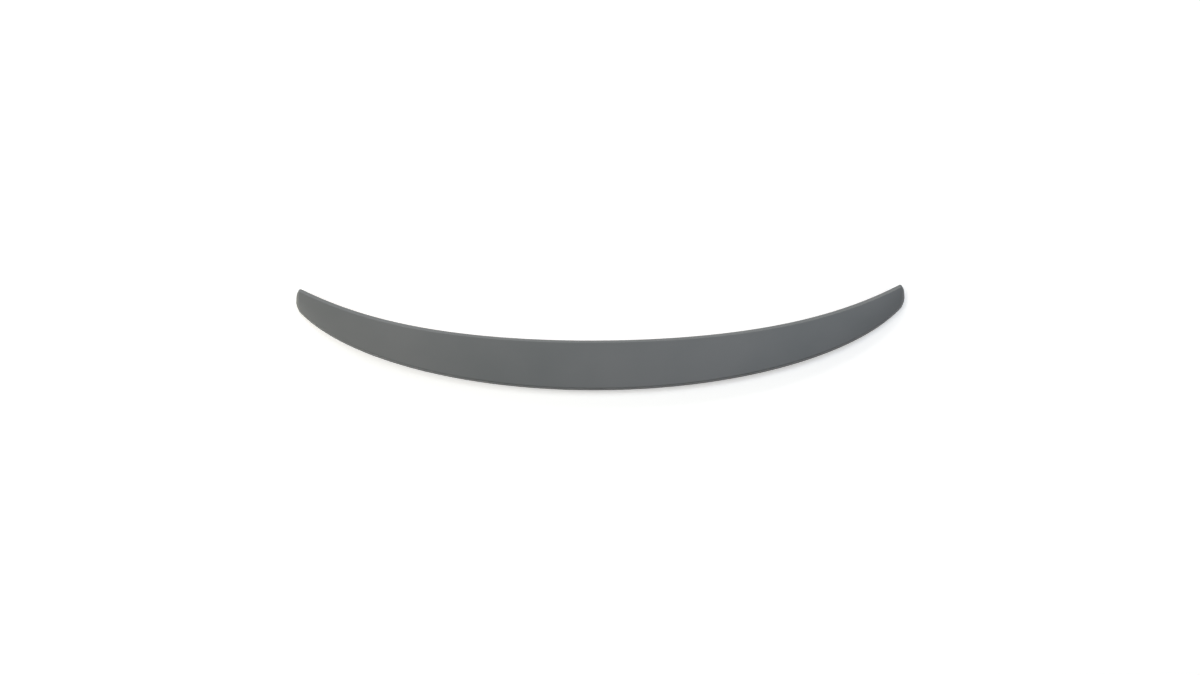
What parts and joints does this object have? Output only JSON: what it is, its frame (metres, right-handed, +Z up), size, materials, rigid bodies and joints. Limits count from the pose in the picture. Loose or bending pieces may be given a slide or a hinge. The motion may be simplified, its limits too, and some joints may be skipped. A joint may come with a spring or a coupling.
{
  "type": "car rear lip spoiler",
  "caption": "Crescent-shaped boot-lid lip spoiler in grey primer, a ribbed one-piece moulding bonded by foam tape along its front edge and rear rim.",
  "frame": {"origin": "centre of the bounding box on the table that the rear rim lies on", "axes": "+X across the car to the right when looking forward, +Y towards the front of the car, +Z up from the plane of the rear rim"},
  "size_m": [1.2, 0.2122, 0.021],
  "materials": {
    "primed_abs": "satin grey primer over moulded ABS",
    "foam_tape": "acrylic foam tape under a red release film"
  },
  "bodies": {
    "root": {"spoiler_body": "primed_abs", "front_tape": "foam_tape", "rear_tape": "foam_tape"}
  },
  "joints": []
}
